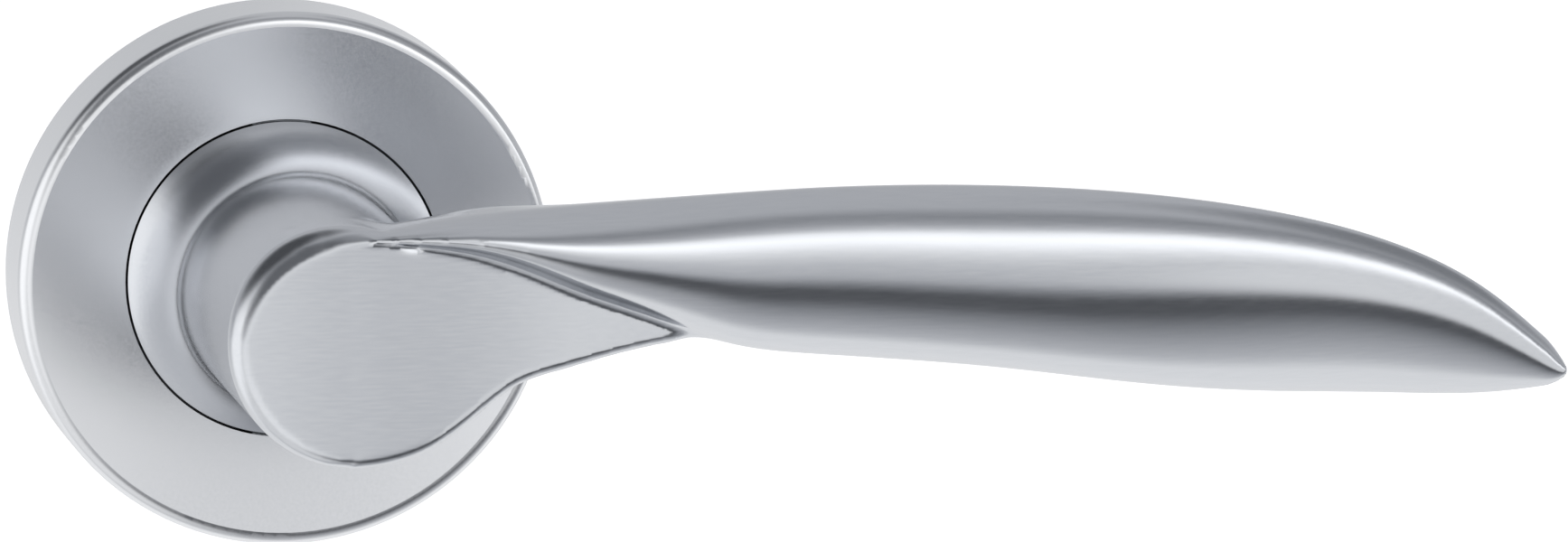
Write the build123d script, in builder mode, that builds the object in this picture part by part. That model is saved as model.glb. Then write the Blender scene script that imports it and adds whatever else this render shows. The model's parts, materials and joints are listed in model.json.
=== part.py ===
"""Lever handle on a round rose, with its concealed spring cassette and door fixings.

Frame: the origin is the centre of the rose's back face, on the spindle's axis. The door's face is
the plane Y = 0. The lever stands out towards -Y, its grip points to +X, the spindle and the bolts
go into the door towards +Y, and +Z is up. Millimetres. A "height" is a distance out from the door.
"""
from build123d import *
import os
from math import asin, atan2, cos, degrees, radians, sin

os.makedirs("parts", exist_ok=True)

# ---- rose -------------------------------------------------------------------------------------
rose_diameter = 52.0
rose_wall = 1.0
rose_edge_radius = 1.3
rose_dish = 1.3            # how far the face sinks from its rim to its hole

# ---- lever ------------------------------------------------------------------------------------
skirt_diameter = 30.5
skirt_thickness = 1.15     # at its edge
neck_diameter = 22.6
neck_height = 49.5         # flat front of the neck
flare_length = 9.0         # how far the foot of the neck widens towards the skirt
neck_front_radius = 0.8
shank_diameter = 16.0
shank_flat = 7.2           # each flat's distance from the axis
petal_length = 33.0        # from the spindle's axis to the petal's point
petal_height = 11.0        # depth of the petal behind the neck's front
petal_start_angle = 67.0   # where the grip leaves the neck's edge, from +X
petal_leave_angle = 275.0  # where the lower edge leaves the neck's circle
# edges of the petal: X as a share of its length, Z as a share of the neck's radius
petal_lower_edge = [(0.25, -0.83), (0.39, -0.55), (0.48, -0.37), (0.61, -0.26), (0.77, -0.15)]
petal_tip = (1.0, -0.07)
petal_upper_edge = [(0.81, 0.35), (0.54, 0.63)]
grip_length = 118.6        # from the spindle's axis to the point
# sections of the grip over the petal: X as a share of the petal's length, upper and lower edge as
# shares of the neck's radius, thickness, and how far the front stands before the neck's front
near_sections = [
    (0.06, 0.92, 0.78, 8.0, -0.3),
    (0.3, 1.03, 0.73, 10.0, 0.7),
    (0.54, 1.09, 0.54, 11.0, 1.2),
    (0.79, 1.14, 0.25, 12.0, 1.4),
    (1.03, 1.18, -0.04, 12.6, 1.5),
]
# sections of the grip beyond the petal: X as a share of the way from the petal's point to the
# grip's, upper edge Z, lower edge Z, thickness and how far the front stands out
far_sections = [
    (0.14, 13.6, -2.5, 13.0, 1.5),
    (0.32, 13.2, -4.2, 13.0, 1.5),
    (0.49, 12.1, -6.1, 12.6, 1.3),
    (0.67, 9.9, -7.6, 11.2, 0.4),
    (0.81, 6.2, -8.0, 9.0, -1.0),
    (0.91, 1.3, -8.0, 6.0, -2.7),
    (0.97, -2.7, -7.9, 3.4, -4.2),
    (1.0, -5.4, -7.3, 1.4, -5.3),
]
turn_angle = 45.0          # how far the lever turns down

# ---- spindle, grub screw ----------------------------------------------------------------------
spindle_side = 8.0
spindle_in_lever = 37.0
spindle_behind_door = 50.0
grub_diameter = 5.0
grub_height = 20.0
grub_hexagon = 2.5
grub_recess = 0.8          # below the neck's surface

# ---- mounting plate and cassette --------------------------------------------------------------
pad_thickness = 0.5
plate_thickness = 2.6
plate_recess_depth = 1.4   # recess at the back for the circlip
plate_recess_radius = 11.6
cup_inner_radius = 13.6
cup_wall = 1.3
cup_depth = 2.8
lid_thickness = 0.6
lid_screw_diameter = 2.4
lid_screw_head = 4.0
lid_screw_head_height = 0.6
boss_in_wall = 0.25        # how far a screw boss runs into the cup's wall
bush_wall = 1.15
front_flange_radius = 13.5
front_flange_thickness = 0.5
rear_flange_radius = 10.4
rear_flange_thickness = 0.25
rotor_ring_radius = 10.2
rotor_arm_radius = 13.2
rotor_arm_half_angle = 12.0
rotor_arm_thickness = 0.85
stop_pin_diameter = 1.2
stop_pin_circle = 12.9     # radius on which the stop pins stand
spring_wire = 0.6
spring_radius = 11.55
spring_turns = 1.5
spring_pitch = 0.72
circlip_thickness = 0.7
circlip_outer_radius = 10.6
circlip_groove_depth = 0.7
washer_thickness = 0.25
ring_wire = 1.0

# ---- door fixings -----------------------------------------------------------------------------
bolt_spacing = 38.0
bolt_diameter = 4.0
bolt_head_diameter = 7.0
bolt_head_height = 2.4
bolt_thread_diameter = 3.9  # beyond the plain shank, which ends just past the sleeve
bolt_shank_past_sleeve = 0.5
bolt_behind_door = 22.0
bolt_washer_thickness = 0.8
sleeve_diameter = 8.0
sleeve_in_plate = 1.6
sleeve_behind_door = 7.5
wood_screw_circle = 19.8   # radius on which the wood screws stand
wood_screw_diameter = 3.5
wood_screw_head = 6.8
wood_screw_behind_door = 20.0

# ---- clearances -------------------------------------------------------------------------------
skirt_gap = 0.25           # between the skirt and the cover's hole
running_gap = 0.05         # radial, in every bearing and round the snap ring
fixed_gap = 0.05           # radial, where a piece is held in its seat
hole_gap = 0.15            # radial, round bolts and screws
end_gap = 0.05             # along the axis, between a turning face and its neighbour
stop_gap = 0.05            # between the rotor's arm and a stop pin
screw_gap = 0.3            # between a lid screw's head and the skirt above it

# ---- heights that follow ----------------------------------------------------------------------
plate_back = pad_thickness
plate_front = plate_back + plate_thickness
recess_floor = plate_back + plate_recess_depth
cup_rim = plate_front + cup_depth
lid_front = cup_rim + lid_thickness
skirt_back = lid_front + front_flange_thickness + end_gap
hole_face = skirt_back + skirt_thickness
rose_height = hole_face + rose_dish
shank_back = plate_back + end_gap
circlip_back = shank_back + 0.2
circlip_front = circlip_back + circlip_thickness

rose_radius = rose_diameter / 2
cover_inner_radius = rose_radius - rose_wall
skirt_radius = skirt_diameter / 2
cover_hole_radius = skirt_radius + skirt_gap
neck_radius = neck_diameter / 2
shank_radius = shank_diameter / 2
bush_inner_radius = shank_radius + running_gap
bush_outer_radius = bush_inner_radius + bush_wall
bush_seat_radius = bush_outer_radius + fixed_gap
ring_radius = cover_inner_radius - running_gap - ring_wire / 2
plate_radius = ring_radius
socket_side = spindle_side + 2 * fixed_gap
cup_radius = cup_inner_radius + cup_wall
lid_screw_offset = max(skirt_radius, cup_radius) + lid_screw_head / 2 + screw_gap
boss_radius = lid_screw_offset - cup_radius + boss_in_wall


def facing(height):
    """The plane parallel to the door at this height, looking out from it."""
    return Plane.XZ.offset(height)


def polar(radius, angle):
    return (radius * cos(radians(angle)), radius * sin(radians(angle)))


def ring(inner, outer, low, high):
    """Adds a flat ring between two heights to the part that is being built."""
    with BuildSketch(facing(low)) as face:
        Circle(outer)
        Circle(inner, mode=Mode.SUBTRACT)
    extrude(face.sketch, amount=high - low)


def turned(points, mode=Mode.ADD):
    """Turns an outline of (radius, height) points about the spindle's axis."""
    with BuildSketch(Plane.XY) as profile:
        with BuildLine():
            Polyline([(radius, -height) for radius, height in points], close=True)
        make_face()
    revolve(profile.sketch, axis=Axis.Y, mode=mode)


def bore(radius, low, high):
    """Cuts a round hole on the current locations between two heights."""
    with BuildSketch(facing(low)) as hole:
        Circle(radius)
    extrude(hole.sketch, amount=high - low, mode=Mode.SUBTRACT)


def finish(part, name):
    part.label = name
    export_step(part, "parts/" + name + ".step")


bolt_places = [(-bolt_spacing / 2, 0), (bolt_spacing / 2, 0)]
lid_screw_places = [(0, -lid_screw_offset), (0, lid_screw_offset)]
wood_screw_places = [polar(wood_screw_circle, 45 + 90 * i) for i in range(4)]

# ---- lever: grip, neck, skirt and shank in one casting ----------------------------------------
neck_foot = hole_face + flare_length
flare_width = skirt_radius - neck_radius
flare_radius = (flare_length ** 2 + flare_width ** 2) / (2 * flare_width)
flare_angle = atan2(flare_length, flare_radius - flare_width) / 2
flare_middle = neck_radius + flare_radius * (1 - cos(flare_angle))
flare_middle_height = neck_foot - flare_radius * sin(flare_angle)
petal_radius = neck_radius - neck_front_radius
front_corner = neck_radius - neck_front_radius * (1 - cos(radians(45)))
front_corner_height = neck_height - neck_front_radius * (1 - sin(radians(45)))


def on_petal(x_share, z_share):
    return (x_share * petal_length, z_share * neck_radius)


grip_sections = [
    (*on_petal(x, top), bottom * neck_radius, thickness, proud)
    for x, top, bottom, thickness, proud in near_sections
]
grip_sections += [
    (petal_length + x * (grip_length - petal_length), top, bottom, thickness, proud)
    for x, top, bottom, thickness, proud in far_sections
]

with BuildPart() as lever:
    with BuildSketch(Plane.XY):
        with BuildLine():
            Polyline(
                (0, -neck_height), (0, -shank_back), (shank_radius, -shank_back),
                (shank_radius, -skirt_back), (skirt_radius, -skirt_back), (skirt_radius, -hole_face),
            )
            ThreePointArc(
                (skirt_radius, -hole_face),
                (flare_middle, -flare_middle_height),
                (neck_radius, -neck_foot),
            )
            Line((neck_radius, -neck_foot), (neck_radius, neck_front_radius - neck_height))
            ThreePointArc(
                (neck_radius, neck_front_radius - neck_height),
                (front_corner, -front_corner_height),
                (neck_radius - neck_front_radius, -neck_height),
            )
            Line((neck_radius - neck_front_radius, -neck_height), (0, -neck_height))
        make_face()
    revolve(axis=Axis.Y)
    # the petal: the neck's front drawn out to a point under the grip
    with BuildSketch(facing(neck_height - petal_height)):
        with BuildLine():
            start = polar(petal_radius, petal_start_angle)
            leave = polar(petal_radius, petal_leave_angle)
            ThreePointArc(start, polar(petal_radius, (petal_start_angle + petal_leave_angle) / 2), leave)
            Spline(
                [leave] + [on_petal(x, z) for x, z in petal_lower_edge] + [on_petal(*petal_tip)],
                tangents=[polar(1, petal_leave_angle + 90), (1, 0.1)],
            )
            Polyline([on_petal(*petal_tip)] + [on_petal(x, z) for x, z in petal_upper_edge] + [start])
        make_face()
    extrude(amount=petal_height)
    # the grip: oval sections, from the top of the neck to the point
    for x, top, bottom, thickness, proud in grip_sections:
        centre = (x, thickness / 2 - neck_height - proud, (top + bottom) / 2)
        with BuildSketch(Plane(origin=centre, x_dir=(0, 1, 0), z_dir=(1, 0, 0))):
            Ellipse(thickness / 2, (top - bottom) / 2)
    loft()
    # two flats on the shank, from its end up to the lid
    with BuildSketch(facing(shank_back)):
        with Locations((shank_flat + shank_radius, 0), (-shank_flat - shank_radius, 0)):
            Rectangle(2 * shank_radius, 4 * shank_radius)
    extrude(amount=cup_rim - shank_back, mode=Mode.SUBTRACT)
    # circlip groove
    turned(
        [
            (shank_radius - circlip_groove_depth, circlip_back - end_gap),
            (shank_radius + 1, circlip_back - end_gap),
            (shank_radius + 1, circlip_front + end_gap),
            (shank_radius - circlip_groove_depth, circlip_front + end_gap),
        ],
        mode=Mode.SUBTRACT,
    )
    # square socket for the spindle
    with BuildSketch(facing(shank_back)):
        Rectangle(socket_side, socket_side)
    extrude(amount=spindle_in_lever + end_gap - shank_back, mode=Mode.SUBTRACT)
    # tapped hole for the grub screw, from underneath
    with BuildSketch(Plane(origin=(0, -grub_height, 0), z_dir=(0, 0, -1))):
        Circle(grub_diameter / 2 + fixed_gap)
    extrude(amount=neck_radius + 1, mode=Mode.SUBTRACT)
finish(lever.part, "lever")

# ---- spindle and grub screw -------------------------------------------------------------------
with BuildPart() as spindle:
    with BuildSketch(facing(-spindle_behind_door)):
        Rectangle(spindle_side, spindle_side)
    extrude(amount=spindle_behind_door + spindle_in_lever)
    chamfer(spindle.edges(), length=0.3)
finish(spindle.part, "spindle")

with BuildPart() as grub_screw:
    with BuildSketch(Plane(origin=(0, -grub_height, -spindle_side / 2), z_dir=(0, 0, -1))):
        Circle(grub_diameter / 2)
    extrude(amount=neck_radius - grub_recess - spindle_side / 2)
    with BuildSketch(grub_screw.faces().sort_by(Axis.Z)[0]):
        RegularPolygon(grub_hexagon / 2, 6, major_radius=False)
    extrude(amount=-grub_diameter / 2, mode=Mode.SUBTRACT)
    chamfer(grub_screw.faces().sort_by(Axis.Z)[0].outer_wire().edges(), length=0.3)
finish(grub_screw.part, "grub_screw")

# ---- rose cover: pressed sheet with a rounded edge and a dished face ---------------------------
edge_centre = (rose_radius - rose_edge_radius, rose_height - rose_edge_radius)
inner_edge_radius = rose_edge_radius - rose_wall
with BuildPart() as rose_cover:
    with BuildSketch(Plane.XY):
        with BuildLine():
            Line((rose_radius, 0), (rose_radius, -edge_centre[1]))
            CenterArc((edge_centre[0], -edge_centre[1]), rose_edge_radius, 0, -90)
            Polyline(
                (edge_centre[0], -rose_height),
                (cover_hole_radius, -hole_face),
                (cover_hole_radius, rose_wall - hole_face),
                (edge_centre[0], rose_wall - rose_height),
            )
            CenterArc((edge_centre[0], -edge_centre[1]), inner_edge_radius, -90, 90)
            Polyline((cover_inner_radius, -edge_centre[1]), (cover_inner_radius, 0), (rose_radius, 0))
        make_face()
    revolve(axis=Axis.Y)
finish(rose_cover.part, "rose_cover")

# ---- mounting plate: disc, spring cup and screw bosses ----------------------------------------
ring_height = (plate_back + plate_front) / 2
bolt_hole_radius = bolt_diameter / 2 + hole_gap
wood_screw_hole_radius = wood_screw_diameter / 2 + hole_gap
with BuildPart() as mounting_plate:
    ring(bush_seat_radius, plate_radius, plate_back, plate_front)
    ring(cup_inner_radius, cup_radius, plate_front, cup_rim)
    with BuildSketch(facing(plate_front)):
        with Locations(lid_screw_places):
            Circle(boss_radius)
    extrude(amount=cup_depth)
    bore(plate_recess_radius, plate_back, recess_floor)
    with BuildSketch(facing(plate_back)):
        with Locations(bolt_places):
            Circle(sleeve_diameter / 2 + fixed_gap)
    extrude(amount=sleeve_in_plate + end_gap, mode=Mode.SUBTRACT)
    with BuildSketch(facing(plate_back)):
        with Locations(bolt_places):
            Circle(bolt_hole_radius)
    extrude(amount=plate_thickness, mode=Mode.SUBTRACT)
    with BuildSketch(facing(plate_back + 1)):
        with Locations(lid_screw_places):
            Circle(lid_screw_diameter / 2 + fixed_gap)
    extrude(amount=cup_rim - plate_back, mode=Mode.SUBTRACT)
    with Locations(facing(plate_front)):
        with Locations(wood_screw_places):
            CounterSinkHole(wood_screw_hole_radius, wood_screw_head / 2 + hole_gap, counter_sink_angle=90)
    # groove round the rim for the snap ring
    turned(
        [
            (ring_radius - ring_wire / 2 - fixed_gap, ring_height - ring_wire / 2 - fixed_gap),
            (plate_radius + 1, ring_height - ring_wire / 2 - fixed_gap),
            (plate_radius + 1, ring_height + ring_wire / 2 + fixed_gap),
            (ring_radius - ring_wire / 2 - fixed_gap, ring_height + ring_wire / 2 + fixed_gap),
        ],
        mode=Mode.SUBTRACT,
    )
finish(mounting_plate.part, "mounting_plate")

with BuildPart() as door_pad:
    with BuildSketch(facing(0)):
        Circle(plate_radius)
        Circle(plate_recess_radius, mode=Mode.SUBTRACT)
        with Locations(bolt_places):
            Circle(sleeve_diameter / 2 + hole_gap, mode=Mode.SUBTRACT)
        with Locations(wood_screw_places):
            Circle(wood_screw_hole_radius, mode=Mode.SUBTRACT)
    extrude(amount=pad_thickness)
finish(door_pad.part, "door_pad")

# ---- cassette lid and its screws --------------------------------------------------------------
with BuildPart() as cassette_lid:
    with BuildSketch(facing(cup_rim)):
        Circle(cup_radius)
        Rectangle(2 * boss_radius, 2 * lid_screw_offset)
        with Locations(lid_screw_places):
            Circle(boss_radius)
            Circle(lid_screw_diameter / 2 + hole_gap, mode=Mode.SUBTRACT)
        Circle(bush_seat_radius, mode=Mode.SUBTRACT)
    extrude(amount=lid_thickness)
finish(cassette_lid.part, "cassette_lid")

with BuildPart() as lid_screws:
    with BuildSketch(facing(plate_back + 1)):
        with Locations(lid_screw_places):
            Circle(lid_screw_diameter / 2)
    extrude(amount=lid_front - plate_back - 1)
    with BuildSketch(facing(lid_front)):
        with Locations(lid_screw_places):
            Circle(lid_screw_head / 2)
    extrude(amount=lid_screw_head_height)
    with BuildSketch(facing(lid_front + lid_screw_head_height / 2)):
        with Locations(lid_screw_places):
            Rectangle(lid_screw_head, 0.6)
    extrude(amount=lid_screw_head_height, mode=Mode.SUBTRACT)
finish(lid_screws.part, "lid_screws")

# ---- bushes -----------------------------------------------------------------------------------
with BuildPart() as front_bush:
    ring(bush_inner_radius, bush_outer_radius, cup_rim, lid_front)
    ring(bush_inner_radius, front_flange_radius, lid_front, lid_front + front_flange_thickness)
finish(front_bush.part, "front_bush")

with BuildPart() as rear_bush:
    ring(bush_inner_radius, bush_outer_radius, recess_floor + end_gap, plate_front)
    ring(bush_inner_radius, rear_flange_radius, plate_front, plate_front + rear_flange_thickness)
finish(rear_bush.part, "rear_bush")

# ---- rotor: sleeve on the shank's flats, with one arm between the stops ------------------------
rotor_low = plate_front + rear_flange_thickness + end_gap
rotor_high = cup_rim - end_gap
with BuildPart() as rotor:
    with BuildSketch(facing(rotor_low)):
        Circle(rotor_ring_radius)
    extrude(amount=rotor_high - rotor_low)
    arm_reach = 2 * rotor_arm_radius
    with BuildSketch(facing(rotor_high - rotor_arm_thickness)):
        with BuildLine():
            Polyline(
                (0, 0),
                polar(arm_reach, 90 - rotor_arm_half_angle),
                polar(arm_reach, 90 + rotor_arm_half_angle),
                close=True,
            )
        make_face()
        Circle(rotor_arm_radius, mode=Mode.INTERSECT)
    extrude(amount=rotor_arm_thickness)
    with BuildSketch(facing(rotor_low)):
        Circle(shank_radius + fixed_gap)
        Rectangle(2 * (shank_flat + fixed_gap), 4 * shank_radius, mode=Mode.INTERSECT)
    extrude(amount=rotor_high - rotor_low, mode=Mode.SUBTRACT)
finish(rotor.part, "rotor")

# ---- stop pins --------------------------------------------------------------------------------
pin_angle = rotor_arm_half_angle + degrees(asin((stop_pin_diameter / 2 + stop_gap) / stop_pin_circle))
with BuildPart() as stop_pins:
    with BuildSketch(facing(plate_front)):
        with Locations(
            polar(stop_pin_circle, 90 + pin_angle),
            polar(stop_pin_circle, 90 - turn_angle - pin_angle),
        ):
            Circle(stop_pin_diameter / 2)
    extrude(amount=rotor_high - plate_front)
finish(stop_pins.part, "stop_pins")

# ---- return spring: a flat torsion coil with one leg in the cup and one beside the arm ---------
coil_low = plate_front + rear_flange_thickness + spring_wire / 2
leg_gap = degrees(asin((spring_wire / 2 + stop_gap) / spring_radius))
leg_angle = 90 - rotor_arm_half_angle - leg_gap
helix = Helix(
    pitch=spring_pitch,
    height=spring_turns * spring_pitch,
    radius=spring_radius,
    center=(0, -coil_low, 0),
    direction=(0, -1, 0),
)
helix_end = helix @ 1
helix_end_angle = degrees(atan2(helix_end.Z, helix_end.X))
with BuildPart() as return_spring:
    with BuildLine() as coil:
        add(helix.rotate(Axis((0, 0, 0), (0, -1, 0)), leg_angle - helix_end_angle))
    foot = coil.line @ 0
    head = coil.line @ 1
    with BuildSketch(Plane(origin=foot, z_dir=coil.line % 0)):
        Circle(spring_wire / 2)
    sweep()
    with BuildSketch(Plane(origin=foot, z_dir=(foot.X, 0, foot.Z))):
        Circle(spring_wire / 2)
    extrude(amount=cup_inner_radius - spring_radius - fixed_gap)
    with BuildSketch(Plane(origin=head, z_dir=(0, -1, 0))):
        Circle(spring_wire / 2)
    extrude(amount=rotor_high + head.Y)
finish(return_spring.part, "return_spring")

# ---- circlip and coned washer at the back of the shank ----------------------------------------
clip_inner = shank_radius - circlip_groove_depth + fixed_gap
with BuildPart() as circlip:
    with BuildSketch(facing(circlip_back)):
        Circle(circlip_outer_radius)
        Circle(clip_inner, mode=Mode.SUBTRACT)
        with Locations((0, -circlip_outer_radius)):
            Rectangle(4, circlip_outer_radius, mode=Mode.SUBTRACT)
        with Locations((-3.6, -8.3), (3.6, -8.3)):
            Circle(0.6, mode=Mode.SUBTRACT)
    extrude(amount=circlip_thickness)
finish(circlip.part, "circlip")

washer_inner = shank_radius + 0.4
washer_outer = plate_recess_radius - 0.7
with BuildPart() as spring_washer:
    turned(
        [
            (washer_inner, recess_floor - end_gap - washer_thickness),
            (washer_inner, recess_floor - end_gap),
            (washer_outer, circlip_front + end_gap + washer_thickness),
            (washer_outer, circlip_front + end_gap),
        ]
    )
finish(spring_washer.part, "spring_washer")

# ---- snap ring in the plate's rim -------------------------------------------------------------
with BuildPart() as retaining_ring:
    with BuildSketch(Plane.XY):
        with Locations((ring_radius, -ring_height)):
            Circle(ring_wire / 2)
    revolve(axis=Axis.Y, revolution_arc=350)
finish(retaining_ring.part, "retaining_ring")

# ---- through bolts, their washers and sleeves -------------------------------------------------
bolt_head_back = plate_front + bolt_washer_thickness
bolt_shank_end = sleeve_behind_door + bolt_shank_past_sleeve
with BuildPart() as through_bolts:
    with BuildSketch(facing(-bolt_behind_door)):
        with Locations(bolt_places):
            Circle(bolt_thread_diameter / 2)
    extrude(amount=bolt_behind_door - bolt_shank_end)
    with BuildSketch(facing(-bolt_shank_end)):
        with Locations(bolt_places):
            Circle(bolt_diameter / 2)
    extrude(amount=bolt_shank_end + bolt_head_back)
    with BuildSketch(facing(bolt_head_back)):
        with Locations(bolt_places):
            Circle(bolt_head_diameter / 2)
    extrude(amount=bolt_head_height)
    with BuildSketch(facing(bolt_head_back + bolt_head_height / 2)):
        with Locations(bolt_places):
            Rectangle(bolt_head_diameter * 0.6, 1.0)
            Rectangle(1.0, bolt_head_diameter * 0.6)
    extrude(amount=bolt_head_height, mode=Mode.SUBTRACT)
    chamfer(through_bolts.faces().group_by(Axis.Y)[-1].edges(), length=0.6)
finish(through_bolts.part, "through_bolts")

with BuildPart() as bolt_washers:
    with BuildSketch(facing(plate_front)):
        with Locations(bolt_places):
            Circle(bolt_head_diameter / 2)
            Circle(bolt_hole_radius, mode=Mode.SUBTRACT)
    extrude(amount=bolt_washer_thickness)
finish(bolt_washers.part, "bolt_washers")

with BuildPart() as locating_sleeves:
    with BuildSketch(facing(-sleeve_behind_door)):
        with Locations(bolt_places):
            Circle(sleeve_diameter / 2)
            Circle(bolt_hole_radius, mode=Mode.SUBTRACT)
    extrude(amount=sleeve_behind_door + plate_back + sleeve_in_plate)
    chamfer(locating_sleeves.faces().group_by(Axis.Y)[-1].edges().filter_by(GeomType.CIRCLE)
            .group_by(SortBy.RADIUS)[-1], length=0.5)
finish(locating_sleeves.part, "locating_sleeves")

# ---- wood screws: countersunk, with a point ---------------------------------------------------
head_depth = (wood_screw_head - wood_screw_diameter) / 2
point_length = 1.2 * wood_screw_diameter
with BuildPart() as wood_screws:
    for x, z in wood_screw_places:
        with BuildSketch(Plane(origin=(x, 0, z), x_dir=(1, 0, 0), z_dir=(0, 0, 1))):
            with BuildLine():
                Polyline(
                    (0, -plate_front),
                    (wood_screw_head / 2, -plate_front),
                    (wood_screw_diameter / 2, head_depth - plate_front),
                    (wood_screw_diameter / 2, wood_screw_behind_door - point_length),
                    (0, wood_screw_behind_door),
                    close=True,
                )
            make_face()
        revolve(axis=Axis((x, 0, z), (0, 1, 0)))
    with BuildSketch(facing(plate_front - head_depth / 2)):
        with Locations(wood_screw_places):
            Rectangle(wood_screw_diameter, 0.8)
            Rectangle(0.8, wood_screw_diameter)
    extrude(amount=head_depth, mode=Mode.SUBTRACT)
finish(wood_screws.part, "wood_screws")
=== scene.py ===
# %% [markdown]
# # A satin steel door lever on a round rose
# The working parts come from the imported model, which is the fixed frame: every piece made here
# rides on one of its bodies. The lever is cast and polished, so its surface is one flowing skin
# that a turned-and-lofted CAD solid only blocks out. Here it gets a finer skin of its own, and
# every other part gets the finish of its real metal or plastic.

import json
from math import atan2, cos, pi, radians, sin, tan

import bmesh
import bpy
import numpy as np
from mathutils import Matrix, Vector


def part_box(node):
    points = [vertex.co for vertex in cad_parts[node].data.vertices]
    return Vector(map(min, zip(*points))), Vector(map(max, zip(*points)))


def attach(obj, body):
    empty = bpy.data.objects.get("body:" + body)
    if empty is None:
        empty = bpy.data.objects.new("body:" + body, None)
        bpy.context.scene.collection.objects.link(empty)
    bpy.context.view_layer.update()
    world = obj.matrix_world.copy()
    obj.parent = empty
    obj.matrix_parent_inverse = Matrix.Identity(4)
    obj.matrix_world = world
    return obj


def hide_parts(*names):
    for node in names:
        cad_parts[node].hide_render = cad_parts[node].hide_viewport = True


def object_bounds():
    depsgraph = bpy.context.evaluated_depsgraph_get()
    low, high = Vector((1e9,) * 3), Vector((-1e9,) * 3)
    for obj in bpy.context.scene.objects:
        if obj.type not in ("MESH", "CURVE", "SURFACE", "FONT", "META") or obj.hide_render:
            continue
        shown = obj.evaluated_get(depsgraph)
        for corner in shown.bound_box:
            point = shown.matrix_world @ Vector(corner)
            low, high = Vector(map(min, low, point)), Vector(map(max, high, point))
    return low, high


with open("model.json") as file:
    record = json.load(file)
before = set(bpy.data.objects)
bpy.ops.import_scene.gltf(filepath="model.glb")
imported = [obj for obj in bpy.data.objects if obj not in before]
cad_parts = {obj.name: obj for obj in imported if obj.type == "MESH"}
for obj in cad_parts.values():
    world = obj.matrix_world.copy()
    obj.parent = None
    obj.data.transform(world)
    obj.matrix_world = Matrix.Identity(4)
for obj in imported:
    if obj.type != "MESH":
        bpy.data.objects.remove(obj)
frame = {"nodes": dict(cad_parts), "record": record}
cad_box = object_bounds()
MM = 0.001

# %% [markdown]
# ## Helpers for materials
# Colours are written as a designer reads them off a chart, in sRGB hex, and Blender works in
# linear light, so one function does the conversion. Another adds a node, sets it up and links it,
# which keeps each material down to a few lines.

# %% Colour and node helpers
def linear(colour):
    """sRGB hex to a linear RGBA tuple."""
    channels = [int(colour[i:i + 2], 16) / 255 for i in (1, 3, 5)]
    return tuple(c / 12.92 if c <= 0.04045 else ((c + 0.055) / 1.055) ** 2.4 for c in channels) + (1.0,)


def node(tree, kind, links=(), values=(), **settings):
    """Adds a node, sets its options and its sockets' values, and links outputs into its inputs."""
    made = tree.nodes.new(kind)
    for name, value in settings.items():
        setattr(made, name, value)
    for socket, value in dict(values).items():
        made.inputs[socket].default_value = value
    for socket, source in dict(links).items():
        tree.links.new(source, made.inputs[socket])
    return made


def new_material(name):
    """An empty node material with its output, and the tree to fill."""
    material = bpy.data.materials.new(name)
    material.use_nodes = True
    material.node_tree.nodes.clear()
    return material, material.node_tree


# %% [markdown]
# ## The lever's shape, as one formula
# The real lever is cast in one piece and polished by hand. Three forms make it: a round neck, a
# flat petal that the neck's front is drawn out into, and a leaf-shaped grip that starts at the top
# of the neck and laps over the petal. Modelling that with loops of faces means fighting the place
# where all three meet. It is easier to say, for any point, how far it is from each form, and to
# blend those distances: a soft minimum melts two forms together with a fillet.

# %% Sizes of the lever, in millimetres
low, high = (np.array(corner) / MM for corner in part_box("lever"))
skirt_radius = -low[0]
tip_x = high[0]
crest_height = -low[1]
neck_radius = 11.3
neck_height = 49.5
petal_tilt = 7.0      # degrees that the petal's face looks upwards
petal_crest = 9.0     # X where the face starts to fall away to the left
petal_width = 20.0    # over this distance it falls
petal_lean = 1.2      # by this much
print(f"tip at {tip_x:.1f}, crest at {crest_height:.1f}, skirt radius {skirt_radius:.2f}")


# %% A smooth curve through a few chosen points
def smooth_curve(*points):
    """The natural cubic spline through (x, value) points, as a function of x."""
    x, y = np.array(points, float).T
    gap = np.diff(x)
    inner = np.diag(2 * (gap[:-1] + gap[1:])) + np.diag(gap[1:-1], 1) + np.diag(gap[1:-1], -1)
    bend = np.zeros(len(x))
    bend[1:-1] = np.linalg.solve(inner, 6 * np.diff(np.diff(y) / gap))

    def value(at):
        at = np.clip(at, x[0], x[-1])
        i = np.clip(np.searchsorted(x, at) - 1, 0, len(gap) - 1)
        a = (x[i + 1] - at) / gap[i]
        b = 1 - a
        return a * y[i] + b * y[i + 1] + ((a**3 - a) * bend[i] + (b**3 - b) * bend[i + 1]) * gap[i] ** 2 / 6

    return value


upper_edge = smooth_curve(
    (-4, 9.8), (3, 10.7), (10, 11.6), (18.8, 12.2), (31, 12.8), (45, 13.4), (63, 13.1), (76, 12.1),
    (89, 10.1), (102, 6.3), (111, 1.4), (tip_x, -5.2),
)
lower_edge = smooth_curve(
    (-4, 8.8), (3, 9.3), (7.3, 8.9), (12, 8.2), (17.8, 6.2), (22.6, 4.0), (27.2, 2.3), (32, 0.5),
    (37, -1.3), (45, -2.6), (63, -4.5), (76, -6.5), (89, -8.1), (102, -8.9), (112, -8.9), (tip_x, -7.8),
)
grip_front = smooth_curve(
    (-4, 47.2), (3, 48.5), (8, 49.4), (14, 50.2), (22, 50.7), (34, 50.9), (60, 50.9), (75, 50.5),
    (90, 49.4), (102, 47.8), (111, 46.2), (tip_x, 44.2),
)
grip_bulge = smooth_curve(
    (-4, 2.5), (3, 3.5), (10, 4.8), (18, 5.5), (26, 6.0), (34, 6.3), (45, 6.5), (60, 6.7), (80, 6.6),
    (98, 6.0), (108, 4.7), (113, 3.6), (tip_x, 1.8),
)
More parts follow.
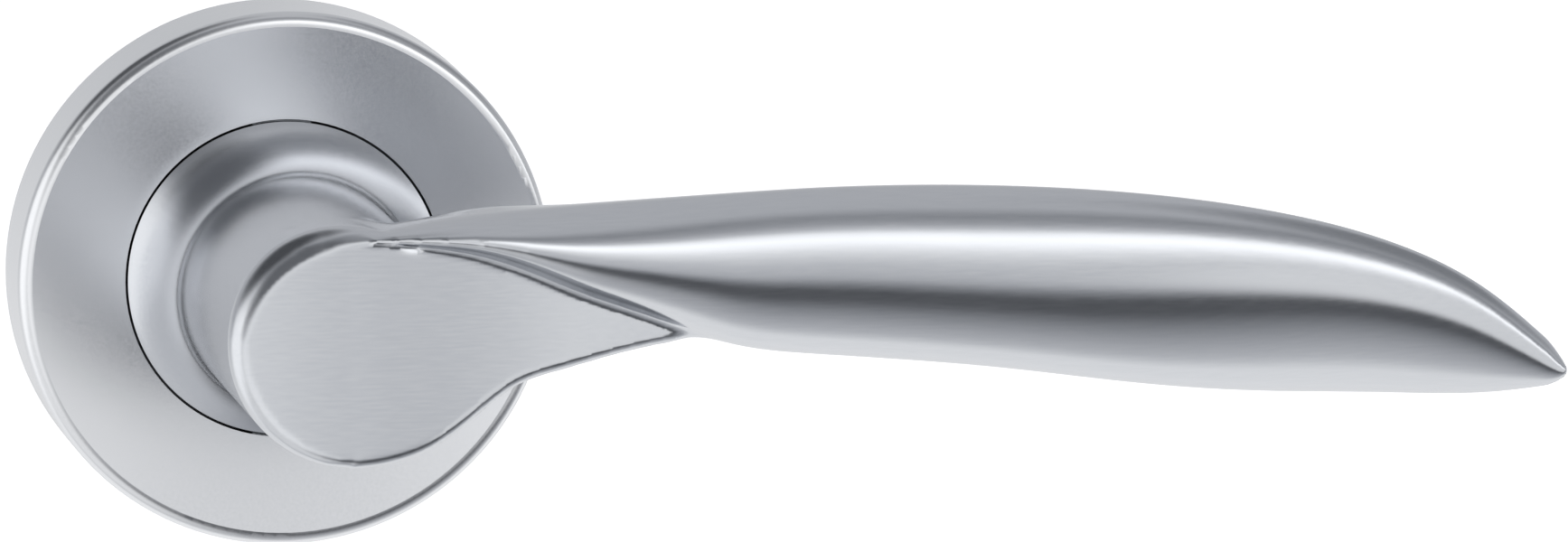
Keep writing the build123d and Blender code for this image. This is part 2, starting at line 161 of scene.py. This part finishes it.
grip_back = smooth_curve(
    (-4, 2.5), (3, 3.5), (10, 4.7), (18, 5.5), (34, 6.0), (60, 5.8), (80, 5.2), (98, 4.0), (108, 3.0),
    (tip_x, 1.4),
)
grip_twist = smooth_curve(
    (-4, 0), (5, 0), (18, 5), (32, 9), (45, 9), (60, 6), (72, 10), (84, 19), (98, 30), (108, 32), (tip_x, 32),
)
petal_lower = smooth_curve(
    (0, -11.25), (3.5, -11.0), (8.2, -9.4), (12.8, -6.2), (15.8, -4.2), (20, -2.9), (25.5, -1.7),
    (31, -0.9), (36, -0.6),
)
petal_drop = smooth_curve((0, 0), (8, 0), (15, 0.35), (22, 1.1), (28, 2.2), (36, 4.4))
petal_back = smooth_curve((0, 38.5), (9, 38.5), (18, 39.4), (26, 41.4), (36, 44.6))
tip_rounding = 2.0


# %% Soft and round ways to join distances
def melt(a, b, width):
    """Union of two forms, with a fillet about as wide as width."""
    share = np.clip(0.5 + 0.5 * (b - a) / width, 0, 1)
    return b + (a - b) * share - width * share * (1 - share)


def rounded_corner(a, b, radius):
    """What is inside both forms, with their common edge rounded."""
    inside = np.minimum(np.maximum(a, b), -radius)
    return inside + np.hypot(np.maximum(a + radius, 0), np.maximum(b + radius, 0))


# %% Distance to each of the lever's three forms
def grip_distance(x, h, z):
    """An oval section, fuller in front, that turns towards the tip so that its crest sweeps upwards."""
    reach = np.clip((tip_x - x) / tip_rounding, 0, 1)
    narrowing = np.sqrt(np.maximum(1 - (1 - reach) ** 2, 1e-4))
    front, behind = grip_bulge(x) * narrowing, grip_back(x) * narrowing
    c, s = np.cos(np.radians(grip_twist(x))), np.sin(np.radians(grip_twist(x)))
    half_height = (upper_edge(x) - lower_edge(x)) / 2 * narrowing
    half_width = np.sqrt(np.maximum(half_height**2 - (front**2 + behind**2) / 2 * s**2, 0.01)) / c
    above, below = np.hypot(half_width * c, behind * s), np.hypot(half_width * c, front * s)
    up = z - (upper_edge(x) + lower_edge(x) + below - above) / 2
    out = h - grip_front(x) + np.hypot(half_width * s, front * c)
    depth = out * c - up * s
    half_depth = np.where(depth > 0, front, behind)
    across, deep = (up * c + out * s) / half_width, depth / half_depth
    size = np.hypot(across, deep) + 1e-9
    steepness = np.hypot(across / half_width, deep / half_depth) / size
    return np.maximum((size - 1) / steepness, -4 - x)


def front_distance(x, h, z):
    """Height above the petal's face, which looks a little up and left and sinks to the right."""
    lean = petal_lean / petal_width**2 * np.minimum(x - petal_crest, 0) ** 2
    return h - neck_height + tan(radians(petal_tilt)) * z + lean + petal_drop(x)


def stem_distance(x, h, z):
    """The neck with the petal drawn out of its front, under one common face."""
    slope = (petal_lower(x + 0.1) - petal_lower(x - 0.1)) / 0.2
    below = (petal_lower(x) - z) / np.hypot(1, slope)
    above = z - upper_edge(x) + 1.5 + np.clip(x - 12, 0, 30) * 0.15
    outline = np.maximum(np.maximum(below, above), np.maximum(-x, x - 36))
    petal = rounded_corner(outline, petal_back(x) - h, 3.0)
    upper_left = np.clip((z - 1) / 8, 0, 1) * np.clip((4 - x) / 6, 0, 1)
    rim = 1.0 + 0.6 * np.clip((-x - 2) / 7, 0, 1) + 1.4 * upper_left
    return rounded_corner(melt(np.hypot(x, z) - neck_radius, petal, 0.6), front_distance(x, h, z), rim)


grub_height = 20.0
grub_radius = 2.55


def lever_distance(points):
    """All three forms melted together, less the grub screw's hole."""
    x, h, z = points
    fillet = (1.0 + 3.0 * np.clip((46.0 - h) / 4.0, 0, 1)) * np.clip((x - 3) / 12, 0.3, 1)
    body = melt(stem_distance(x, h, z), grip_distance(x, h, z), fillet)
    hole = np.maximum(np.hypot(x, h - grub_height) - grub_radius, z + neck_radius - 2.4)
    return -melt(-body, hole, 0.5)


# %% [markdown]
# ## From a formula to a mesh
# A surface net walks a grid of small cubes. Each cube that the surface passes through gets one
# point, and each grid edge that crosses the surface gets one face between the four cubes round it.
# The points are then slid along the slope of the distance until they lie on the surface itself, so
# the steps of the grid are gone and only an even net of quads is left.

# %% Build the net
def surface_net(distance, corner, step, counts):
    """Points and quads of the surface where distance is zero, on a grid of cubes."""
    axes = [corner[i] + step * np.arange(counts[i] + 1) for i in range(3)]
    field = distance(np.meshgrid(*axes, indexing="ij"))
    inside = field < 0
    cells = np.zeros(counts, int)
    offsets = [(i, j, k) for i in (0, 1) for j in (0, 1) for k in (0, 1)]
    for i, j, k in offsets:
        cells += inside[i:counts[0] + i, j:counts[1] + j, k:counts[2] + k]
    crossed = (cells > 0) & (cells < 8)
    index = np.full(counts, -1)
    index[crossed] = np.arange(crossed.sum())
    where = np.argwhere(crossed)
    total, weight = np.zeros(where.shape), np.zeros(len(where))
    for axis in range(3):
        for start in (o for o in offsets if o[axis] == 0):
            end = tuple(o + (a == axis) for a, o in enumerate(start))
            f0, f1 = field[tuple((where + start).T)], field[tuple((where + end).T)]
            cut = (f0 < 0) != (f1 < 0)
            place = np.tile(np.array(start, float), (len(where), 1))
            place[:, axis] += np.divide(f0, f0 - f1, out=np.zeros(len(f0)), where=cut)
            total += place * cut[:, None]
            weight += cut
    points = np.array(corner) + step * (where + total / weight[:, None])
    quads = []
    for axis in range(3):
        b, c = (axis + 1) % 3, (axis + 2) % 3
        first = np.moveaxis(inside, (axis, b, c), (0, 1, 2))
        cell = np.moveaxis(index, (axis, b, c), (0, 1, 2))
        change = first[1:, 1:-1, 1:-1] != first[:-1, 1:-1, 1:-1]
        leaving = first[:-1, 1:-1, 1:-1][change]
        i, j, k = np.nonzero(change)
        ring = np.stack([cell[i, j, k], cell[i, j + 1, k], cell[i, j + 1, k + 1], cell[i, j, k + 1]], 1)
        quads.append(np.where(leaving[:, None], ring, ring[:, ::-1]))
    return points, np.concatenate(quads)


def slide_onto(distance, points, rounds, reach):
    """Moves points along the slope of the distance until it is zero."""
    nudge = 0.01
    for _ in range(rounds):
        value = distance(points.T)
        slope = np.stack([
            distance((points + nudge * axis).T) - distance((points - nudge * axis).T) for axis in np.eye(3)
        ], 1) / (2 * nudge)
        move = value[:, None] * slope / np.maximum((slope**2).sum(1), 0.05)[:, None]
        points = points - np.clip(move, -reach, reach)
    return points


net_step = 0.42
net_floor = 18.5
net_corner = np.array([-13.0, net_floor, -13.0])
net_far_corner = np.array([tip_x + 1, crest_height + 1, 15.0])
net_counts = [int(n) for n in np.ceil((net_far_corner - net_corner) / net_step)]
points, quads = surface_net(lever_distance, net_corner, net_step, net_counts)
points = slide_onto(lever_distance, points, 4, 0.3)
print(f"net of {len(points)} points and {len(quads)} quads, grid {net_counts}")

# %% Even out the net without leaving the surface
for _ in range(3):
    middle, count = np.zeros(points.shape), np.zeros(len(points))
    for a, b in ((0, 1), (1, 2), (2, 3), (3, 0)):
        for p, q in ((a, b), (b, a)):
            np.add.at(middle, quads[:, p], points[quads[:, q]])
            np.add.at(count, quads[:, p], 1)
    settled = points + 0.5 * (middle / np.maximum(count, 1)[:, None] - points)
    open_end = points[:, 1] < net_floor + net_step
    points = slide_onto(lever_distance, np.where(open_end[:, None], points, settled), 2, 0.2)

# %% [markdown]
# ## The turned end of the lever
# Below the net the neck is plain turned work: a long flare, the thin skirt that fills the
# rose's hole, and the shank with its circlip groove and square socket. The net's open edge is a
# ring of points round the neck. Carrying that ring down a profile, as a lathe would, keeps the
# skirt's edge crisp and joins the two halves without a seam.

# %% Carry the neck's ring down the profile
ring = np.nonzero(points[:, 1] < net_floor + net_step)[0]
ring = ring[np.argsort(np.arctan2(points[ring, 2], points[ring, 0]))]
angle = np.arctan2(points[ring, 2], points[ring, 0])
points[ring] = np.stack(
    [neck_radius * np.cos(angle), np.full(len(ring), net_floor), neck_radius * np.sin(angle)], 1
)

skirt_back = 7.05
hole_face = 8.2
flare_length = 9.0
flare_width = skirt_radius - neck_radius
flare_radius = (flare_length**2 + flare_width**2) / (2 * flare_width)
shank_radius = 8.0
shank_flat = 7.2
shank_end = 0.55
groove_radius = 7.3
groove_low, groove_high = 0.7, 1.5
socket_half = 4.05
socket_end = 37.05
flare_steps = 20
flare_turn = atan2(flare_length, flare_radius - flare_width)
profile = [
    (neck_radius + flare_radius * (1 - cos(t)), hole_face + flare_length - flare_radius * sin(t))
    for t in (flare_turn * i / flare_steps for i in range(flare_steps + 1))
]
profile += [
    (skirt_radius, skirt_back), (shank_radius, skirt_back), (shank_radius, groove_high),
    (groove_radius, groove_high), (groove_radius, groove_low), (shank_radius, groove_low),
    (shank_radius, shank_end),
]
square = socket_half / np.maximum(np.abs(np.cos(angle)), np.abs(np.sin(angle)))
rings = []
for radius, height in profile:
    x, z = radius * np.cos(angle), radius * np.sin(angle)
    if radius <= shank_radius:
        x = np.clip(x, -shank_flat, shank_flat)
    rings.append(np.stack([x, np.full(len(ring), height), z], 1))
for height in (shank_end, socket_end):
    rings.append(np.stack([square * np.cos(angle), np.full(len(ring), height), square * np.sin(angle)], 1))
rings.append(np.zeros((1, 3)) + (0, socket_end, 0))
all_points = np.concatenate([points] + rings)
faces = quads.tolist()
upper = ring
start = len(points)
around = np.arange(len(ring))
for _ in rings[:-1]:
    lower = start + around
    faces += np.stack([upper, np.roll(upper, -1), np.roll(lower, -1), lower], 1).tolist()
    upper, start = lower, start + len(ring)
faces += [[a, b, start] for a, b in zip(upper.tolist(), np.roll(upper, -1).tolist())]
print(f"ring of {len(ring)} points carried down {len(rings)} steps")


# %% Make the lever's mesh
def rigid_piece(name, vertices, polygons, body, sharp=35, soft_points=0):
    """A mesh object from (x, height, z) points in millimetres, riding on a body.

    Edges sharper than the angle stay crisp, except between the first soft_points points.
    """
    vertices = np.array(vertices, float)
    mesh = bpy.data.meshes.new(name)
    mesh.from_pydata((vertices * (1, -1, 1) * MM).tolist(), [], polygons)
    mesh.validate()
    mesh.shade_smooth()
    mesh.set_sharp_from_angle(angle=radians(sharp))
    crisp = mesh.attributes["sharp_edge"].data
    for edge in mesh.edges:
        if max(edge.vertices) < soft_points:
            crisp[edge.index].value = False
    piece = bpy.data.objects.new(name, mesh)
    bpy.context.collection.objects.link(piece)
    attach(piece, body)
    return piece



def face_outwards(piece):
    """Turns the normals outwards and prints the volume and any edge that is left open."""
    skin = bmesh.new()
    skin.from_mesh(piece.data)
    bmesh.ops.recalc_face_normals(skin, faces=skin.faces)
    open_edges = sum(len(edge.link_faces) != 2 for edge in skin.edges)
    volume = skin.calc_volume(signed=True) / MM**3
    skin.to_mesh(piece.data)
    skin.free()
    print(f"{piece.name}: volume {volume:.0f} mm3, edges not between two faces: {open_edges}")


lever_skin = rigid_piece("lever_skin", all_points, faces, "lever", soft_points=len(points))
face_outwards(lever_skin)
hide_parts("lever")

# %% [markdown]
# ## Satin stainless steel
# The lever and the rose's cover are stainless steel, ground with fine grit and finished with
# a non-woven pad. That leaves very fine scratches: the metal reflects the room, softened, with no
# colour of its own beyond a faint cool grey. It is a metal, so metallic is 1 and the colour is its
# reflectance, but the rose's copy is painted lighter than the lever's: painted brightness on the
# same steel. The roughness sits between polished and brushed and varies a little along the grain.

# %% Satin steel
def satin_steel(name, grain_scale, shades, smoothest, roughest, spun):
    """Stainless steel with a fine satin grain, stretched along grain_scale's small axis.

    spun is how much more a turned face spreads light across its rings than along them.
    """
    material, tree = new_material(name)
    place = node(tree, "ShaderNodeTexCoord").outputs["Object"]
    along = node(tree, "ShaderNodeMapping", {"Vector": place}, {"Scale": grain_scale}).outputs[0]
    grain = node(tree, "ShaderNodeTexNoise", {"Vector": along}, {"Scale": 1.0, "Detail": 3.0}).outputs[0]
    hand = node(tree, "ShaderNodeTexNoise", {"Vector": place}, {"Scale": 90.0, "Detail": 2.0}).outputs[0]
    rough = node(tree, "ShaderNodeMapRange", {"Value": grain},
                 {"From Min": 0.3, "From Max": 0.7, "To Min": smoothest, "To Max": roughest})
    worn = node(tree, "ShaderNodeMapRange", {"Value": hand},
                {"From Min": 0.3, "From Max": 0.7, "To Min": -0.015, "To Max": 0.015})
    total = node(tree, "ShaderNodeMath", {0: rough.outputs[0], 1: worn.outputs[0]}, operation="ADD")
    colour = node(tree, "ShaderNodeMix", {"Factor": grain}, data_type="RGBA")
    colour.inputs["A"].default_value = linear(shades[0])
    colour.inputs["B"].default_value = linear(shades[1])
    bump = node(tree, "ShaderNodeBump", {"Height": grain}, {"Strength": 0.04, "Distance": 0.00002})
    metal = node(tree, "ShaderNodeBsdfPrincipled",
                 {"Base Color": colour.outputs["Result"], "Roughness": total.outputs[0],
                  "Normal": bump.outputs[0]},
                 {"Metallic": 1.0, "Anisotropic": spun, "Anisotropic Rotation": 0.0})
    if spun:
        rings = node(tree, "ShaderNodeTangent", direction_type="RADIAL", axis="Y")
        tree.links.new(rings.outputs[0], metal.inputs["Tangent"])
    node(tree, "ShaderNodeOutputMaterial", {"Surface": metal.outputs[0]})
    return material


lever_steel = satin_steel("satin_stainless_lever", (400, 4000, 4000), ("#c8cbd0", "#d2d4d8"), 0.14, 0.18, 0.0)
# The rose's colour is painted lighter than the lever's, though both are the same steel: painted brightness.
rose_steel_painted_lighter = satin_steel("satin_stainless_rose_painted_lighter", (4000, 4000, 4000), ("#dcdee1", "#e5e6e9"), 0.20, 0.24, 0.5)
lever_skin.data.materials.append(lever_steel)


# %% [markdown]
# ## Finishes of the hidden parts
# The parts behind the rose are seen from the back and whenever the cover is slid off.

# %% Plain finishes with a fine mottling
def mottled(name, dark, light, metallic, roughness, scale, bump_height=0.0):
    """A material whose colour and roughness drift between two values at a real scale per metre."""
    material, tree = new_material(name)
    place = node(tree, "ShaderNodeTexCoord").outputs["Object"]
    spots = node(tree, "ShaderNodeTexNoise", {"Vector": place}, {"Scale": scale, "Detail": 4.0}).outputs[0]
    colour = node(tree, "ShaderNodeMix", {"Factor": spots}, data_type="RGBA")
    colour.inputs["A"].default_value = linear(dark)
    colour.inputs["B"].default_value = linear(light)
    rough = node(tree, "ShaderNodeMapRange", {"Value": spots},
                 {"From Min": 0.3, "From Max": 0.7, "To Min": roughness - 0.05, "To Max": roughness + 0.05})
    bump = node(tree, "ShaderNodeBump", {"Height": spots}, {"Strength": 0.2, "Distance": bump_height})
    surface = node(tree, "ShaderNodeBsdfPrincipled",
                   {"Base Color": colour.outputs["Result"], "Roughness": rough.outputs[0],
                    "Normal": bump.outputs[0]},
                   {"Metallic": metallic})
    node(tree, "ShaderNodeOutputMaterial", {"Surface": surface.outputs[0]})
    return material


finishes = {
    "satin_steel": rose_steel_painted_lighter,
    "plated_steel": mottled("bright_zinc_plate", "#b3b8bd", "#c9cdd2", 1.0, 0.3, 900, 0.00001),
    "black_steel": mottled("black_oxide_steel", "#1a1a1c", "#2a2a2d", 0.6, 0.4, 1500, 0.00001),
    "cast_zinc": mottled("die_cast_zinc", "#85888c", "#9b9ea2", 1.0, 0.45, 700, 0.00004),
    "white_nylon": mottled("natural_nylon", "#e2e0d6", "#eeece4", 0.0, 0.45, 600, 0.00001),
    "sintered_steel": mottled("sintered_steel", "#5b5c5f", "#737477", 1.0, 0.5, 2500, 0.00003),
    "spring_steel": mottled("drawn_spring_steel", "#6d6f73", "#85878b", 1.0, 0.3, 1200, 0.00001),
    "brass_plated": mottled("yellow_passivated_zinc", "#bfa050", "#d8c078", 1.0, 0.32, 800, 0.00001),
}
for part in frame["record"]["subparts"]:
    if part["node"] == "lever":
        continue
    cad = frame["nodes"][part["node"]]
    for slot in cad.material_slots:
        slot.material = finishes[part["material_slot"]]

# %% [markdown]
# ## The studio
# Polished and satin metal shows its surroundings, so the light is drawn as a room: a pale floor
# and table below, a soft dark gap where the room recedes, grey at eye level, one long soft light
# above the viewer and a paler side wall to the left. It is all in the world's background, as one
# smooth gradient over the direction with a few soft patches, and the camera itself sees white.

# %% World
world = bpy.data.worlds.new("studio")
bpy.context.scene.world = world
world.use_nodes = True
tree = world.node_tree
tree.nodes.clear()
direction = node(tree, "ShaderNodeTexCoord").outputs["Generated"]
parts = node(tree, "ShaderNodeSeparateXYZ", {0: direction})
forward = node(tree, "ShaderNodeMath", {0: parts.outputs["Y"]}, {1: -1.0}, operation="MULTIPLY")
turn = node(tree, "ShaderNodeMath", {0: parts.outputs["Z"], 1: forward.outputs[0]}, operation="ARCTAN2")
level = node(tree, "ShaderNodeMapRange", {"Value": turn.outputs[0]}, {"From Min": -pi, "From Max": pi})
# angle up from straight ahead, over the top and round to the back, and how bright it is there
room = [
    (-180, 0.74), (-155, 0.90), (-125, 1.05), (-95, 1.05), (-80, 0.70), (-65, 0.54), (-54, 0.40),
    (-45, 0.27), (-37, 0.14), (-25, 0.12), (-18, 0.32), (-11, 0.62), (-3, 0.69), (4, 0.77),
    (12, 0.92), (20, 1.15), (28, 1.5), (35, 1.75), (42, 1.45), (47, 0.80), (56, 0.48), (68, 0.36),
    (84, 0.60), (106, 0.62), (135, 0.60), (160, 0.56), (180, 0.74),
]
gradient = node(tree, "ShaderNodeValToRGB", {0: level.outputs[0]})
gradient.color_ramp.interpolation = "LINEAR"
stops = gradient.color_ramp.elements
while len(stops) < len(room):
    stops.new(0.5)
top_brightness = 2.0


def cool_grey(brightness):
    """Grey that turns slightly blue where it is dark, as a room does."""
    lit = min(brightness, 1.0)
    tint = (0.93 + 0.07 * lit, 0.965 + 0.035 * lit, 1.04 - 0.04 * lit)
    return tuple(brightness / top_brightness * c for c in tint) + (1.0,)


for stop, (angle_up, brightness) in zip(stops, room):
    stop.position = (angle_up + 180) / 360
    stop.color = cool_grey(brightness)


def patch(below, toward, inner, outer, brightness):
    """A round soft patch of another brightness, centred on an azimuth and elevation in degrees."""
    azimuth, elevation = (radians(a) for a in toward)
    aim = (sin(azimuth) * cos(elevation), -cos(azimuth) * cos(elevation), sin(elevation))
    dot = node(tree, "ShaderNodeVectorMath", {0: direction}, {1: aim}, operation="DOT_PRODUCT")
    share = node(tree, "ShaderNodeMapRange", {"Value": dot.outputs["Value"]},
                 {"From Min": cos(radians(outer)), "From Max": cos(radians(inner))},
                 interpolation_type="SMOOTHSTEP")
    mix = node(tree, "ShaderNodeMix", {"A": below, "Factor": share.outputs[0]}, data_type="RGBA")
    mix.inputs["B"].default_value = cool_grey(brightness)
    return mix.outputs["Result"]


# azimuth and elevation of each patch, its inner and outer radius in degrees, and its brightness
patches = [
    ((-75, -3), 15, 48, 1.3), ((-42, -38), 12, 38, 0.95), ((-119, 53), 12, 38, 0.10),
    ((108, 45), 8, 30, 0.30), ((32, -5), 9, 20, 1.0), ((-20, -6), 6, 26, 1.15),
    ((48, -2), 6, 26, 0.95), ((-32, 38), 12, 34, 0.18),
]
walls = gradient.outputs[0]
for toward, inner, outer, brightness in patches:
    walls = patch(walls, toward, inner, outer, brightness)
lit = node(tree, "ShaderNodeBackground", {"Color": walls}, {"Strength": top_brightness})
white = node(tree, "ShaderNodeBackground", (), {"Color": (1, 1, 1, 1), "Strength": 1.0})
seen = node(tree, "ShaderNodeLightPath").outputs["Is Camera Ray"]
mixed = node(tree, "ShaderNodeMixShader", {0: seen, 1: lit.outputs[0], 2: white.outputs[0]})
node(tree, "ShaderNodeOutputWorld", {"Surface": mixed.outputs[0]})


# %% Lamps and floor
def soft_light(name, place, target, size, power):
    """A square soft light, aimed at a point, that metal does not mirror as a square."""
    lamp = bpy.data.lights.new(name, "AREA")
    lamp.size = size
    lamp.energy = power
    holder = bpy.data.objects.new(name, lamp)
    holder.location = place
    holder.rotation_euler = (Vector(target) - Vector(place)).to_track_quat("-Z", "Y").to_euler()
    holder.visible_glossy = False
    bpy.context.collection.objects.link(holder)


middle = (Vector(cad_box[0]) + Vector(cad_box[1])) / 2
soft_light("overhead_softbox", middle + Vector((-0.1, -0.5, 0.8)), middle, 0.7, 3.0)
soft_light("fill_softbox", middle + Vector((0.7, 0.4, 0.4)), middle, 0.6, 1.0)

floor_depth = 0.12
floor_size = 3.0
floor_mesh = bpy.data.meshes.new("floor")
corners = [(-1, -1), (1, -1), (1, 1), (-1, 1)]
floor_points = [(x * floor_size, y * floor_size, -floor_depth) for x, y in corners]
floor_mesh.from_pydata(floor_points, [], [(0, 1, 2, 3)])
floor = bpy.data.objects.new("floor", floor_mesh)
bpy.context.collection.objects.link(floor)
floor.visible_glossy = False
floor_paper, tree = new_material("white_paper_sweep")
paper = node(tree, "ShaderNodeBsdfDiffuse", (), {"Color": linear("#f4f4f4")})
shine = node(tree, "ShaderNodeEmission", (), {"Color": (1, 1, 1, 1), "Strength": 0.55})
seen = node(tree, "ShaderNodeLightPath").outputs["Is Camera Ray"]
dark = node(tree, "ShaderNodeEmission", (), {"Color": (0, 0, 0, 1), "Strength": 0.0})
extra = node(tree, "ShaderNodeMixShader", {0: seen, 1: dark.outputs[0], 2: shine.outputs[0]})
both = node(tree, "ShaderNodeAddShader", {0: paper.outputs[0], 1: extra.outputs[0]})
node(tree, "ShaderNodeOutputMaterial", {"Surface": both.outputs[0]})
floor_mesh.materials.append(floor_paper)

# %% [markdown]
# ## The camera
# A long lens from far away, a little to the left of the lever and a little above it, keeps the
# lever's proportions as a drawing shows them. A longer one would not do: other views back off in
# proportion to it, and past about a hundred times the object's radius they cut the object away.

# %% Camera
view_azimuth = radians(-10.0)
view_elevation = radians(9.5)
view_distance = 2.0
frame_width = 0.15035
target = Vector((0.04586, -0.025, 0.00213))
back = Vector((
    sin(view_azimuth) * cos(view_elevation),
    -cos(view_azimuth) * cos(view_elevation),
    sin(view_elevation),
))
lens = bpy.data.cameras.new("camera")
lens.sensor_width = 36
lens.lens = lens.sensor_width * view_distance / frame_width
lens.clip_end = 20
camera = bpy.data.objects.new("camera", lens)
camera.location = target + view_distance * back
camera.rotation_euler = (-back).to_track_quat("-Z", "Y").to_euler()
bpy.context.collection.objects.link(camera)
bpy.context.scene.camera = camera
bpy.context.scene.view_settings.view_transform = "Standard"

# %% Finish
print("cad box", [[round(v, 4) for v in c] for c in cad_box])
